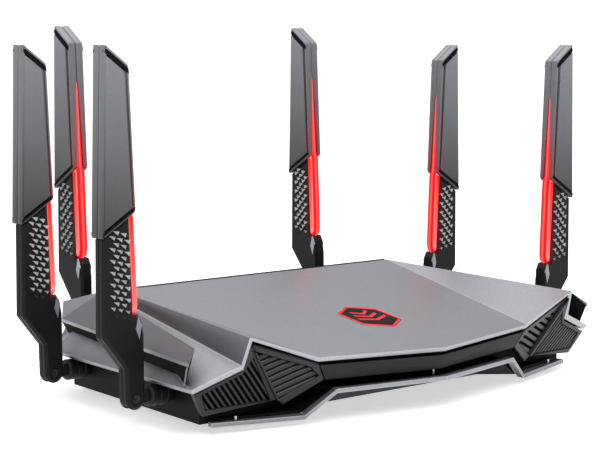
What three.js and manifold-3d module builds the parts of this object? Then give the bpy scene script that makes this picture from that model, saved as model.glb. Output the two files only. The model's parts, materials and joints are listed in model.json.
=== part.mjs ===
// Wireless router with six folding, swivelling antennas.
// Millimetres. +X is the router's right, +Y is its rear (the port side), +Z is up.
// The origin is under the middle of the router, on the surface it stands on.
import * as THREE from 'three';
import { mergeVertices } from 'three/addons/utils/BufferGeometryUtils.js';
import { ConvexGeometry } from 'three/addons/geometries/ConvexGeometry.js';
import Module from 'manifold-3d';

const wasm = await Module();
wasm.setup();

// ---------------------------------------------------------------- driving dimensions
const gap = 0.3;                  // clearance between touching pieces
const skin = 2.2;                 // wall thickness of the plastic covers
const sideTaper = 0.113;          // the sides close in by this much per mm towards the rear

// Cover outline, right half. The left half is its mirror image.
const apex = [0, -102.7, 30.3];           // nose on the centre plane
const noseCorner = [73, -90.8, 32.3];     // where the front edge turns up to the side facet
const facetFront = [113, -87.9, 45.9];    // highest front corner of the side facet
const notch = [114.8, -83.8, 32.5];       // foot of the side wall at the front
const shelfFront = [139.2, -77.4, 23.3];  // widest, lowest front corner of the cover
const ridgeRear = [96.2, 36.2, 53.1];     // rear corner of the main top plane
const wallRear = [97.4, 38, 49.5];        // foot of the side wall at the rear
const shelfRear = [124.2, 55, 22.9];      // rear corner of the side slope
const tailCorner = [106, 75, 23.3];       // lowest rear corner
const deckRear = [98, 76, 34.5];          // outer end of the rear edge

// Lower lip, right half
const lipNose = [0, -103.3, 16.3];
const lipBend = [62.3, -91.4, 16.4];
const lipLow = [77.5, -85.3, 4.9];
const lipEnd = [123.8, -73.4, 5.8];
const lipDepth = 4;
const lipThickness = 2.3;

// Base tray
const baseBottom = 4.3;           // underside height: the feet hold it off the table
const baseRim = 26.5;             // height of the tray's walls
const baseFront = -67;
const baseRear = 64;
const baseWall = 2.4;
const baseCorner = 12;            // length cut off the rear corners
const baseHalfWidth = (y) => 127.2 - sideTaper * (y + 79.6);
const portHalfWidth = 74;         // half width of the port panel
const panelTop = 31;
const panelThickness = 2;

// Antennas. u runs inwards from the outer edge, w runs up from the bend.
const bodyHalf = 4.3;             // half thickness of the lower body
const shellHalf = 4.9;            // half thickness over both shells
const pinU = 18.7;                // hinge pin, inwards from the outer edge
const pinW = -29.5;               // hinge pin, below the bend
const footRadius = 5.25;          // round end of the body, about the pin
const forkHalf = 2.3;             // half width of the fork's slot
const pinRadius = 1.2;
const barrelStart = 8.1;          // the swivel's barrel, measured from the pin
const barrelEnd = 19.8;
const barrelRadius = 5.2;
const neckRadius = 3.8;           // the part of the swivel that turns in the tray's wall
const neckEnd = 26.4;
const facingRight = 0;            // how far an antenna's seat is turned about Z
const facingLeft = Math.PI;
const facingFront = -Math.PI / 2;
const antennaSeats = [
  { name: 'left_front', pin: [-144.7, -41.3, 15.5], turn: facingRight },
  { name: 'left_rear', pin: [-135.5, 38.1, 15.5], turn: facingRight },
  { name: 'right_front', pin: [144.7, -41.3, 15.5], turn: facingLeft },
  { name: 'right_rear', pin: [135.5, 38.1, 15.5], turn: facingLeft },
  { name: 'back_left', pin: [-84, 84.5, 25.5], turn: facingFront },
  { name: 'back_right', pin: [84, 84.5, 25.5], turn: facingFront },
];

// ---------------------------------------------------------------- materials
const finish = (color, roughness, metalness = 0) =>
  new THREE.MeshStandardMaterial({ color, roughness, metalness });
const silverPaint = finish(0x8c8f96, 0.42, 0.35);
const blackPlastic = finish(0x1a1a1c, 0.6);
const glossBlack = finish(0x08080a, 0.12);
const redLight = finish(0xff1414, 0.3);
const steel = finish(0xb4b6ba, 0.3, 1);
const boardGreen = finish(0x174a2c, 0.5);
const aluminium = finish(0xa9abae, 0.4, 0.9);
const rubber = finish(0x111111, 0.9);
const portBlue = finish(0x2456a6, 0.5);

const group = new THREE.Group();

function addMesh(name, geometry, material, parent = group) {
  const mesh = new THREE.Mesh(geometry, material);
  mesh.name = name;
  parent.add(mesh);
  return mesh;
}

// ---------------------------------------------------------------- solids
function welded(geometry) {
  const plain = geometry.clone();
  plain.deleteAttribute('normal');
  plain.deleteAttribute('uv');
  return mergeVertices(plain, 1e-4);
}

function solid(geometry) {
  const mesh = welded(geometry);
  return new wasm.Manifold(new wasm.Mesh({
    numProp: 3,
    vertProperties: new Float32Array(mesh.attributes.position.array),
    triVerts: new Uint32Array(mesh.index.array),
  }));
}

function geometryOf(manifold) {
  const mesh = manifold.getMesh();
  const geometry = new THREE.BufferGeometry();
  geometry.setAttribute('position', new THREE.BufferAttribute(mesh.vertProperties, 3));
  geometry.setIndex(new THREE.BufferAttribute(mesh.triVerts, 1));
  return geometry;
}

// A box from its lowest to its highest corner
function box(low, high) {
  const size = high.map((value, axis) => value - low[axis]);
  const geometry = new THREE.BoxGeometry(...size);
  return solid(geometry.translate(...low.map((value, axis) => value + size[axis] / 2)));
}

// A cylinder along 'x', 'y' or 'z' from one place on that axis to another
function cylinder(axis, radius, from, to, centre = [0, 0, 0], sides = 24) {
  const geometry = new THREE.CylinderGeometry(radius, radius, to - from, sides);
  geometry.translate(0, (from + to) / 2, 0);
  if (axis === 'x') geometry.rotateZ(-Math.PI / 2);
  if (axis === 'z') geometry.rotateX(Math.PI / 2);
  return solid(geometry.translate(...centre));
}

// A convex solid round a list of corners
function hull(points) {
  return solid(new ConvexGeometry(points.map((point) => new THREE.Vector3(...point))));
}

// An outline in (u, w) made into a plate between two places across it, v
function plate(outline, fromV, toV) {
  const shape = new THREE.Shape(outline.map(([u, w]) => new THREE.Vector2(u, w)));
  const geometry = new THREE.ExtrudeGeometry(shape, { depth: toV - fromV, bevelEnabled: false });
  return solid(geometry.rotateX(Math.PI / 2).translate(0, toV, 0));
}

const mirror = ([x, y, z]) => [-x, y, z];
const shifted = ([x, y, z], dx, dy, dz) => [x + dx, y + dy, z + dz];

// A thin shell: a surface of flat faces and the same surface moved by each corner's own offset.
// Faces list corner names anticlockwise, as seen from the outside.
function shell(corners, faces) {
  const names = Object.keys(corners);
  const upper = names.map((name) => corners[name].at);
  const lower = names.map((name) => shifted(corners[name].at, ...corners[name].offset));
  const triangles = [];
  const edges = new Map();
  for (const face of faces) {
    const index = face.map((name) => names.indexOf(name));
    for (let i = 1; i < index.length - 1; i += 1) triangles.push([index[0], index[i], index[i + 1]]);
    index.forEach((from, i) => edges.set(`${from}_${index[(i + 1) % index.length]}`, true));
  }
  const count = names.length;
  const positions = [...upper, ...lower].flat();
  const indices = triangles.flatMap(([a, b, c]) => [a, b, c, c + count, b + count, a + count]);
  for (const key of edges.keys()) {
    const [from, to] = key.split('_').map(Number);
    if (edges.has(`${to}_${from}`)) continue;
    indices.push(from, from + count, to, to, from + count, to + count);
  }
  const geometry = new THREE.BufferGeometry();
  geometry.setAttribute('position', new THREE.BufferAttribute(new Float32Array(positions), 3));
  geometry.setIndex(indices);
  return solid(geometry);
}

// The largest of the loose bodies that a cut can leave
const largest = (piece) => piece.decompose().sort((a, b) => b.volume() - a.volume())[0];

// A piece cut back to leave a gap to its neighbour. Loose slivers are dropped.
function clearOf(piece, neighbour) {
  let result = piece.subtract(neighbour);
  for (const axis of [0, 1, 2]) {
    for (const step of [-gap, gap]) {
      const move = [0, 0, 0];
      move[axis] = step;
      result = result.subtract(neighbour.translate(move));
    }
  }
  return largest(result);
}

// Corners given for the right half, doubled with an L or R after their names
function bothSides(corners) {
  const result = {};
  for (const [name, { at, offset }] of Object.entries(corners)) {
    result[`${name}R`] = { at, offset };
    result[`${name}L`] = { at: mirror(at), offset: mirror(offset) };
  }
  return result;
}

// Faces given for the right half, doubled and turned over for the left
function bothFaces(faces) {
  const right = faces.map((face) => face.map((name) => `${name}R`));
  const left = faces.map((face) => face.map((name) => `${name}L`).reverse());
  return [...right, ...left];
}

// ---------------------------------------------------------------- top cover
const coverCorners = bothSides({
  noseCorner: { at: noseCorner, offset: [0, 1, -skin] },
  facetFront: { at: facetFront, offset: [-skin, 1, -skin] },
  notch: { at: notch, offset: [-skin, 1, -skin] },
  shelfFront: { at: shelfFront, offset: [-skin, 1, -skin] },
  ridgeRear: { at: ridgeRear, offset: [-skin, 0, -skin] },
  wallRear: { at: wallRear, offset: [-skin, 0, -skin] },
  shelfRear: { at: shelfRear, offset: [-skin, 0, -skin] },
  tailCorner: { at: tailCorner, offset: [-skin, -skin, -skin] },
  deckRear: { at: deckRear, offset: [-skin, -skin, -skin] },
});
coverCorners.apex = { at: apex, offset: [0, 1.5, -skin] };
const coverFaces = bothFaces([
  ['noseCorner', 'facetFront', 'ridgeRear'],
  ['facetFront', 'notch', 'wallRear', 'ridgeRear'],
  ['notch', 'shelfFront', 'wallRear'],
  ['shelfFront', 'shelfRear', 'wallRear'],
  ['wallRear', 'shelfRear', 'tailCorner'],
  ['wallRear', 'tailCorner', 'deckRear'],
  ['ridgeRear', 'wallRear', 'deckRear'],
]);
coverFaces.push(['apex', 'noseCornerR', 'ridgeRearR', 'ridgeRearL', 'noseCornerL']);
let topCover = shell(coverCorners, coverFaces);

// The badge lies flush in the main plane, in a through hole of the cover.
const planeSlope = (ridgeRear[2] - noseCorner[2]) / (ridgeRear[1] - noseCorner[1]);
const planeHeight = (y) => noseCorner[2] + planeSlope * (y - noseCorner[1]);
const badgeCentre = -48.5;
const badgeOutline = [[0, -18], [13.5, -9.5], [13.5, 9.5], [0, 18], [-13.5, 9.5], [-13.5, -9.5]];
const ringWidth = 1.6;

// A six-sided pad in the main plane, grown by a margin, between two heights from the surface
function badgePad(margin, below, above) {
  const points = [];
  for (const [x, along] of badgeOutline) {
    const grow = 1 + margin / Math.hypot(x, along);
    const y = badgeCentre + along * grow;
    points.push([x * grow, y, planeHeight(y) + below], [x * grow, y, planeHeight(y) + above]);
  }
  return hull(points);
}
topCover = topCover.subtract(badgePad(gap, -skin - 2, 2));
addMesh('top_cover', geometryOf(topCover), silverPaint);
const badgeRing = badgePad(0, -skin, 0.2).subtract(badgePad(-ringWidth, -skin - 1, 1));
addMesh('badge_ring', geometryOf(badgeRing), redLight);
addMesh('badge_lens', geometryOf(badgePad(-ringWidth - gap, -skin, 0)), glossBlack);

// ---------------------------------------------------------------- front bezel
const bezelFront = [
  [0, -100.2, 27.4], [68, -89, 29.2], [-68, -89, 29.2],
  [0, -98.5, 19.6], [62, -86.6, 19.6], [-62, -86.6, 19.6],
];
const bezelBack = bezelFront.map(([x, , z]) => [x * 0.97, -82, z]);
addMesh('front_bezel', geometryOf(hull([...bezelFront, ...bezelBack])), blackPlastic);

// ---------------------------------------------------------------- side vents
const ventThickness = [0, 5, 2];
const ventCorners = {
  low: { at: [66.9, -87.4, 20.6], offset: ventThickness },
  nose: { at: [72.6, -89.8, 29.4], offset: ventThickness },
  facet: { at: [111.4, -87, 42.6], offset: [-2.5, 5, 0] },
  notch: { at: [113, -82.9, 29.6], offset: [-2.5, 5, 0] },
  shelf: { at: [136.4, -76.6, 20.7], offset: [-2, 5, 0] },
  outer: { at: [128.1, -72.6, 8.8], offset: [-2, 5, 2] },
  ridge: { at: [88.4, -78.9, 12.1], offset: ventThickness },
  inner: { at: [85.7, -79.3, 9.5], offset: ventThickness },
};
const ventFaces = [
  ['low', 'inner', 'ridge', 'facet', 'nose'],
  ['ridge', 'inner', 'outer'],
  ['ridge', 'outer', 'shelf', 'notch', 'facet'],
];

// One through slot of the grille, along a line between two points of its face
const ventOutward = new THREE.Vector3(0.15, -0.91, -0.38).normalize();
function louvreSlot(from, to, width) {
  const start = new THREE.Vector3(...from);
  const end = new THREE.Vector3(...to);
  const along = end.clone().sub(start).normalize();
  const across = along.clone().cross(ventOutward).normalize();
  const outward = across.clone().cross(along);
  const middle = start.clone().add(end).multiplyScalar(0.5);
  const geometry = new THREE.BoxGeometry(start.distanceTo(end), 30, width);
  geometry.applyMatrix4(new THREE.Matrix4().makeBasis(along, outward, across));
  return solid(geometry.translate(middle.x, middle.y, middle.z));
}

const mix = (a, b, t) => a.map((value, axis) => value + (b[axis] - value) * t);

// Slots between two edges of a panel, each edge given by its two ends
function louvres(edgeA, edgeB, count, width) {
  let slots = null;
  for (let i = 0; i < count; i += 1) {
    const t = (i + 0.5) / count;
    const slot = louvreSlot(mix(...edgeA, t), mix(...edgeB, t), width);
    slots = slots ? slots.add(slot) : slot;
  }
  return slots;
}

const innerPanel = louvres(
  [[75.5, -87.5, 26], [103, -85.5, 37.6]], [[86.5, -80.6, 15], [103.8, -85, 36.6]], 8, 1.5);
const outerPanel = louvres(
  [[92.5, -78, 13.6], [126.2, -73.6, 12.2]], [[108, -83, 31.5], [133.2, -77.2, 20.6]], 11, 1.4);
const ventPlate = clearOf(shell(ventCorners, ventFaces), topCover);
const ventRight = ventPlate.subtract(innerPanel).subtract(outerPanel);
addMesh('vent_grille_right', geometryOf(ventRight), blackPlastic);
addMesh('vent_grille_left', geometryOf(ventRight.mirror([1, 0, 0])), blackPlastic);

// ---------------------------------------------------------------- side wings
const wingFront = [132.5, -72.3, 41];
const wingOuterFront = [139.5, -76.6, 35.5];
const wingFoot = [138.4, -72.5, 24.6];
const wingOuterRear = [115.3, 58, 37.7];
const wingPeak = [101.3, 42.2, 52.1];
const wingTail = [103.5, 74, 43.8];
const wingLip = 1.6;              // thickness of the overhanging outer edge

function sideWing() {
  const lipped = (point) => shifted(point, 0, 0, -wingLip);
  const bulk = hull([
    wingFront, wingOuterFront, wingOuterRear, wingPeak, wingTail,
    lipped(wingOuterFront), lipped(wingOuterRear),
    shifted(wingOuterFront, -7, 12, -10), shifted(wingOuterRear, -5, -3, -12),
    shifted(wingFront, -2, 14, -14), shifted(wingPeak, -1, 0, -12), shifted(wingTail, -2, -6, -14),
  ]);
  const finBack = [wingFront, wingOuterFront, wingFoot].map((point) => shifted(point, -0.6, 2, -0.4));
  const fin = hull([wingFront, wingOuterFront, wingFoot, ...finBack]);
  // Everything up to a small gap above the cover's side surfaces is cut away.
  const farBelow = [0, 0, -60];
  const ridgeRise = 8;            // beside the ridge, the cut reaches above the cover
  const ridgeGap = 0.6;
  const raised = {};
  for (const [name, { at }] of Object.entries(coverCorners)) {
    raised[name] = { at: shifted(at, 0, 0, gap * 1.5), offset: farBelow };
  }
  raised.ridgeRearR = { at: shifted(ridgeRear, ridgeGap, 0, ridgeRise), offset: farBelow };
  raised.facetFrontR = { at: shifted(facetFront, ridgeGap, 0, ridgeRise), offset: farBelow };
  const sideFaces = [
    ['facetFrontR', 'notchR', 'wallRearR', 'ridgeRearR'],
    ['notchR', 'shelfFrontR', 'wallRearR'],
    ['shelfFrontR', 'shelfRearR', 'wallRearR'],
    ['wallRearR', 'shelfRearR', 'tailCornerR'],
    ['wallRearR', 'tailCornerR', 'deckRearR'],
    ['ridgeRearR', 'wallRearR', 'deckRearR'],
  ];
  const used = new Set(sideFaces.flat());
  const below = Object.fromEntries(Object.entries(raised).filter(([name]) => used.has(name)));
  return largest(bulk.add(fin).subtract(shell(below, sideFaces)));
}
const wingRight = sideWing();
addMesh('wing_right', geometryOf(wingRight), silverPaint);
addMesh('wing_left', geometryOf(wingRight.mirror([1, 0, 0])), silverPaint);

// ---------------------------------------------------------------- lower trim
const lipCorners = bothSides({
  bend: { at: lipBend, offset: [0, 0, -lipThickness] },
  bendBack: { at: shifted(lipBend, -1, lipDepth, 0), offset: [0, 0, -lipThickness] },
  low: { at: lipLow, offset: [0, 0, -lipThickness] },
  lowBack: { at: shifted(lipLow, -1, lipDepth, 0.4), offset: [0, 0, -lipThickness] },
  end: { at: lipEnd, offset: [0, 0, -lipThickness] },
  endBack: { at: shifted(lipEnd, -1, lipDepth, 0), offset: [0, 0, -lipThickness] },
});
lipCorners.nose = { at: lipNose, offset: [0, 0, -lipThickness] };
lipCorners.noseBack = { at: shifted(lipNose, 0, lipDepth, 0), offset: [0, 0, -lipThickness] };
const lipFaces = bothFaces([
  ['bend', 'low', 'lowBack'],
  ['bend', 'lowBack', 'bendBack'],
  ['low', 'end', 'endBack'],
  ['low', 'endBack', 'lowBack'],
]);
lipFaces.push(['nose', 'bendR', 'bendBackR', 'noseBack'], ['noseBack', 'bendBackL', 'bendL', 'nose']);
addMesh('lower_trim', geometryOf(shell(lipCorners, lipFaces)), silverPaint);

// ---------------------------------------------------------------- base tray
// The tray's outline, moved in by an inset, with its two rear corners cut off
function trayBlock(inset, bottom, top) {
  const cornerStart = baseRear - baseCorner;
  const points = [];
  for (const y of [baseFront + inset, cornerStart, baseRear - inset]) {
    const corner = y > cornerStart ? baseCorner - inset : 0;
    const x = baseHalfWidth(y) - inset - corner;
    for (const z of [bottom, top]) points.push([x, y, z], [-x, y, z]);
  }
  return hull(points);
}

// The sloping underside between the tray and the lower lip
function trayNose() {
  const behindLip = lipDepth + gap;
  const belowLip = -0.6;
  const joinY = baseFront + 1;
  const right = [
    shifted(lipBend, -3, behindLip, belowLip), shifted(lipBend, -3, behindLip, -lipThickness),
    [60, joinY, lipNose[2] + belowLip], [60, joinY, baseBottom],
  ];
  const middle = hull([
    shifted(lipNose, 0, behindLip, belowLip), shifted(lipNose, 0, behindLip, -lipThickness),
    [0, joinY, lipNose[2] + belowLip], [0, joinY, baseBottom],
    ...right, ...right.map(mirror),
  ]);
  const shelf = [];
  for (const z of [baseBottom, baseBottom + 2]) {
    shelf.push([76, lipLow[1] + behindLip + 1, z], [121, lipEnd[1] + behindLip + 1, z]);
    shelf.push([121, joinY, z], [60, joinY, z]);
  }
  return middle.add(hull(shelf)).add(hull(shelf.map(mirror)));
}

// The round hole in the tray's wall that an antenna's swivel turns in
function swivelHole({ pin: [x, y, z], turn }) {
  const radius = neckRadius + gap;
  if (turn === facingFront) return cylinder('y', radius, 50, 75, [x, 0, z]);
  const [from, to] = turn === facingLeft ? [100, 150] : [-150, -100];
  return cylinder('x', radius, from, to, [0, y, z]);
}

let baseTray = trayBlock(0, baseBottom, baseRim).add(trayNose());
baseTray = baseTray.subtract(trayBlock(baseWall, baseBottom + baseWall, baseRim + 5));
baseTray = baseTray.add(box([-100, baseRear - baseWall, baseRim - 1], [100, baseRear, panelTop + 4]));
baseTray = baseTray.subtract(box(
  [-portHalfWidth, baseRear - 10, baseBottom + baseWall], [portHalfWidth, baseRear + 5, panelTop + 9]));
for (const seat of antennaSeats) baseTray = baseTray.subtract(swivelHole(seat));
baseTray = clearOf(baseTray, topCover);
addMesh('base_tray', geometryOf(baseTray), blackPlastic);

// ---------------------------------------------------------------- rear vent panel
function rearVent() {
  const frontY = ridgeRear[1] + gap;
  const frontZ = ridgeRear[2] + 0.5;
  const rearY = deckRear[1] - 0.4;
  const rearZ = deckRear[2] + 0.4;
  const corners = [[-95, frontY, frontZ], [95, frontY, frontZ], [96.4, rearY, rearZ], [-96.4, rearY, rearZ]];
  const under = corners.map((point) => shifted(point, -Math.sign(point[0]) * 2, 0, -skin));
  const panel = clearOf(hull([...corners, ...under]), topCover);
  const slotHalf = [8, 1.5];
  const slotPitch = 20.5;
  let slots = null;
  for (let column = -4; column <= 4; column += 1) {
    for (const y of [44, 52, 60, 68]) {
      const x = column * slotPitch;
      const slot = box([x - slotHalf[0], y - slotHalf[1], 15], [x + slotHalf[0], y + slotHalf[1], 60]);
      slots = slots ? slots.add(slot) : slot;
    }
  }
  return panel.subtract(slots);
}
addMesh('rear_vent', geometryOf(rearVent()), blackPlastic);

// ---------------------------------------------------------------- ports and buttons
const floorTop = baseBottom + baseWall + gap;  // just above the tray's floor
const panelFace = baseRear - 0.4;            // outer face of the port panel
const panelBack = panelFace - panelThickness;
const jackX = -66;
const powerX = -54;
const usbX = -39;
const wanX = -21;
const lanX = 21;
const lanPitch = 15.6;
const lanWidth = lanPitch * 4;
const portWidth = 15;
const portHeight = 14;
const portDepth = 18;
const usbWidth = 15;
const usbHeight = 8;
const usbDepth = 16;
const socketWidth = 12;
const socketHeight = 9.5;
const jackRadius = 4.6;
const boardTop = floorTop + 1.6;
const portZ = boardTop + gap + portHeight / 2;
const usbZ = boardTop + gap + usbHeight / 2;
const powerHalf = 4.1;
const buttonX = 62;
const buttonRadius = 3;
const wpsZ = 24;
const ledZ = 14;
const resetX = 70;
const resetRadius = 1.1;

function opening(x, z, width, height) {
  return box([x - width / 2, panelBack - 3, z - height / 2], [x + width / 2, panelFace + 3, z + height / 2]);
}

const roundHole = (radius, x, z) => cylinder('y', radius, panelBack - 3, panelFace + 3, [x, 0, z]);
const rearPanel = [
  opening(powerX, portZ, 2 * (powerHalf + 0.4), 2 * (powerHalf + 0.4)),
  opening(usbX, usbZ, usbWidth + 2 * gap, usbHeight + 2 * gap),
  opening(wanX, portZ, portWidth + 2 * gap, portHeight + 2 * gap),
  opening(lanX, portZ, lanWidth + 2 * gap, portHeight + 2 * gap),
  roundHole(jackRadius + gap, jackX, portZ),
  roundHole(buttonRadius + 0.4, buttonX, wpsZ),
  roundHole(buttonRadius + 0.4, buttonX, ledZ),
  roundHole(resetRadius + 0.4, resetX, portZ),
].reduce(
  (panel, hole) => panel.subtract(hole),
  box([-portHalfWidth + gap, panelBack, floorTop], [portHalfWidth - gap, panelFace, panelTop]));
addMesh('rear_panel', geometryOf(rearPanel), blackPlastic);

// A socket block: a box with its cavities open to the rear
function socketBlock(x, z, width, height, depth, cavities) {
  let block = box(
    [x - width / 2, panelFace - depth, z - height / 2], [x + width / 2, panelFace + 0.2, z + height / 2]);
  for (const [centre, cavityWidth, cavityHeight] of cavities) {
    block = block.subtract(box(
      [centre - cavityWidth / 2, panelFace - depth + 2, z - cavityHeight / 2],
      [centre + cavityWidth / 2, panelFace + 1, z + cavityHeight / 2]));
  }
  return block;
}
const lanCentres = [-1.5, -0.5, 0.5, 1.5].map((step) => lanX + step * lanPitch);
const usbPort = socketBlock(usbX, usbZ, usbWidth, usbHeight, usbDepth, [[usbX, 12.6, 5.2]]);
const wanPort = socketBlock(
  wanX, portZ, portWidth, portHeight, portDepth, [[wanX, socketWidth, socketHeight]]);
const lanPorts = socketBlock(
  lanX, portZ, lanWidth, portHeight, portDepth, lanCentres.map((x) => [x, socketWidth, socketHeight]));
const jackBody = cylinder('y', jackRadius, panelFace - 12, panelFace + 0.3, [jackX, 0, portZ])
  .subtract(cylinder('y', 3.2, panelFace - 10, panelFace + 1, [jackX, 0, portZ]))
  .add(cylinder('y', 1, panelFace - 10.5, panelFace - 1, [jackX, 0, portZ], 12));
addMesh('usb_port', geometryOf(usbPort), steel);
addMesh('wan_port', geometryOf(wanPort), portBlue);
addMesh('lan_ports', geometryOf(lanPorts), steel);
addMesh('dc_jack', geometryOf(jackBody), blackPlastic);

const powerButton = box(
  [powerX - powerHalf, panelFace - 6, portZ - powerHalf],
  [powerX + powerHalf, panelFace + 2, portZ + powerHalf]);
addMesh('power_button', geometryOf(powerButton), blackPlastic);
const roundButton = (z) => cylinder('y', buttonRadius, panelFace - 5, panelFace + 1.2, [buttonX, 0, z]);
addMesh('wps_button', geometryOf(roundButton(wpsZ)), blackPlastic);
addMesh('led_button', geometryOf(roundButton(ledZ)), blackPlastic);
const resetPin = cylinder('y', resetRadius, panelFace - 6, panelFace - 1, [resetX, 0, portZ], 12);
addMesh('reset_button', geometryOf(resetPin), blackPlastic);

// ---------------------------------------------------------------- inside
addMesh('main_board', geometryOf(box([-96, -54, floorTop], [96, 60, boardTop])), boardGreen);

function heatsink() {
  const [sinkFront, sinkRear] = [-36, 26];
  const finCount = 9;
  const finPitch = 8;
  const finHalf = 0.8;
  let sink = box([-36, sinkFront, boardTop + gap], [36, sinkRear, boardTop + 3]);
  for (let i = 0; i < finCount; i += 1) {
    const x = (i - (finCount - 1) / 2) * finPitch;
    sink = sink.add(box([x - finHalf, sinkFront, boardTop + 2.5], [x + finHalf, sinkRear, boardTop + 13]));
  }
  return sink;
}
addMesh('heatsink', geometryOf(heatsink()), aluminium);

// ---------------------------------------------------------------- feet
const rubberRadius = 7;
for (const [name, x, y] of [
  ['foot_front_left', -96, -54], ['foot_front_right', 96, -54],
  ['foot_rear_left', -92, 44], ['foot_rear_right', 92, 44],
]) {
  addMesh(name, geometryOf(cylinder('z', rubberRadius, 0, baseBottom - gap / 3, [x, y, 0])), rubber);
}

// ---------------------------------------------------------------- antennas
const tip = [2.2, 132.3];
const innerTop = [15.4, 122.8];
const innerLow = [18.6, 57];
const shellOutline = [tip, innerTop, innerLow, [16.9, 55.4], [0, 45]].reverse();
const shellPocket = [[4.2, 127], [13.2, 121], [15.2, 48], [1.8, 46.5]].reverse();
const barLow = 10;                // lower end of the light bar
const barHigh = 102;              // its pointed upper end, between the shells
const barDepth = 2.4;

// Inner edge of the antenna: it leans, so the bar leans with it
function innerEdge(w) {
  const lean = (innerLow[0] - innerTop[0]) / (innerTop[1] - innerLow[1]);
  return innerTop[0] + lean * (innerTop[1] - w);
}

// The light guide: a bar down the body, and a thin wedge between the shells that it tapers into
function lightBar(margin) {
  const lowFace = 19;
  const stretch = (sections) => {
    const corners = [];
    for (const [w, half] of sections) {
      const face = w > innerLow[1] ? innerEdge(w) - 0.4 : lowFace;
      for (const side of [-half, half]) {
        corners.push([face - barDepth - margin, side, w], [face + margin * 6, side, w]);
      }
    }
    return hull(corners);
  };
  const bar = stretch([[barLow - margin, 2.6 + margin], [56 + margin, 3.2 + margin]]);
  const wedge = stretch([[54, 2 + margin], [barHigh + margin, 0.5 + margin]]);
  return bar.add(wedge);
}

// Lower body: from under the shells down to the fork round the hinge pin
function antennaBody() {
  const foot = [];
  const footSteps = 10;
  for (let i = 0; i <= footSteps; i += 1) {
    const angle = Math.PI + Math.PI * i / footSteps;
    foot.push([pinU + footRadius * Math.cos(angle), pinW + footRadius * Math.sin(angle)]);
  }
  const outline = [
    [0.4, 44.6], [0, 0], [12.6, -15], ...foot,
    [23.6, -0.5], [22.3, 6.1], [19, 9.4], [16, 9.4], [16, 54.4],
  ];
  const lower = plate(outline, -bodyHalf, bodyHalf);
  const core = plate([[2.6, 44], [14.4, 50], [12.6, 119], [4.8, 124.5]], -1.2, 1.2);
  const slot = box([pinU - 4, -forkHalf, pinW - 8], [pinU + 12, forkHalf, pinW + 5.2]);
  const pinHole = cylinder('y', pinRadius + gap, -8, 8, [pinU, 0, pinW], 16);
  return lower.add(core).subtract(slot).subtract(pinHole);
}

// One half of the upper cover: a plate with a pocket, cut back round the light bar
function antennaShell() {
  const half = plate(shellOutline, gap / 2, shellHalf);
  const pocket = plate(shellPocket, -1, shellHalf - 3.2);
  const seat = plate([[-3, 40], [-3, 55.1], [16.3, 55.1], [16.3, 40]], -1, bodyHalf + gap);
  return half.subtract(pocket).subtract(seat).subtract(lightBar(gap));
}

// Swivel: a barrel and neck that turn in the tray, with the tongue and pin that the antenna folds on
function antennaSwivel() {
  const tongueHalf = forkHalf - gap;
  const collarRadius = 5.4;
  return cylinder('y', 3.6, -tongueHalf, tongueHalf)
    .add(box([0, -tongueHalf, -3], [barrelStart + 1, tongueHalf, 3]))
    .add(cylinder('y', pinRadius, -4.1, 4.1, [0, 0, 0], 16))
    .add(cylinder('x', barrelRadius, barrelStart, barrelEnd))
    .add(cylinder('x', neckRadius, barrelEnd - 1, neckEnd))
    .add(cylinder('x', collarRadius, neckEnd - 1.5, neckEnd));
}

const toPin = (manifold) => geometryOf(manifold.translate([-pinU, 0, -pinW]));
const bodyGeometry = toPin(antennaBody());
const frontShellGeometry = toPin(antennaShell().mirror([0, 1, 0]));
const rearShellGeometry = toPin(antennaShell());
const barGeometry = toPin(lightBar(0));
const swivelGeometry = geometryOf(antennaSwivel());

for (const { name, pin, turn } of antennaSeats) {
  const seat = new THREE.Group();
  seat.position.set(...pin);
  seat.rotation.z = turn;
  group.add(seat);
  addMesh(`antenna_${name}_body`, bodyGeometry, blackPlastic, seat);
  addMesh(`antenna_${name}_shell_a`, frontShellGeometry, silverPaint, seat);
  addMesh(`antenna_${name}_shell_b`, rearShellGeometry, silverPaint, seat);
  addMesh(`antenna_${name}_light`, barGeometry, redLight, seat);
  addMesh(`antenna_${name}_swivel`, swivelGeometry, blackPlastic, seat);
}

export default group;
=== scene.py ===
"""Wireless router with six folding antennas: the finished look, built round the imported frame.

The frame is in metres: +X right, +Y to the port side, +Z up. Shapes here are drawn in millimetres.
Each antenna has axes of its own: u inwards from its outer edge, v across its thickness, and w up from
its bend.
"""
import json
import math

import bmesh
import bpy
from mathutils import Matrix, Vector

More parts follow.
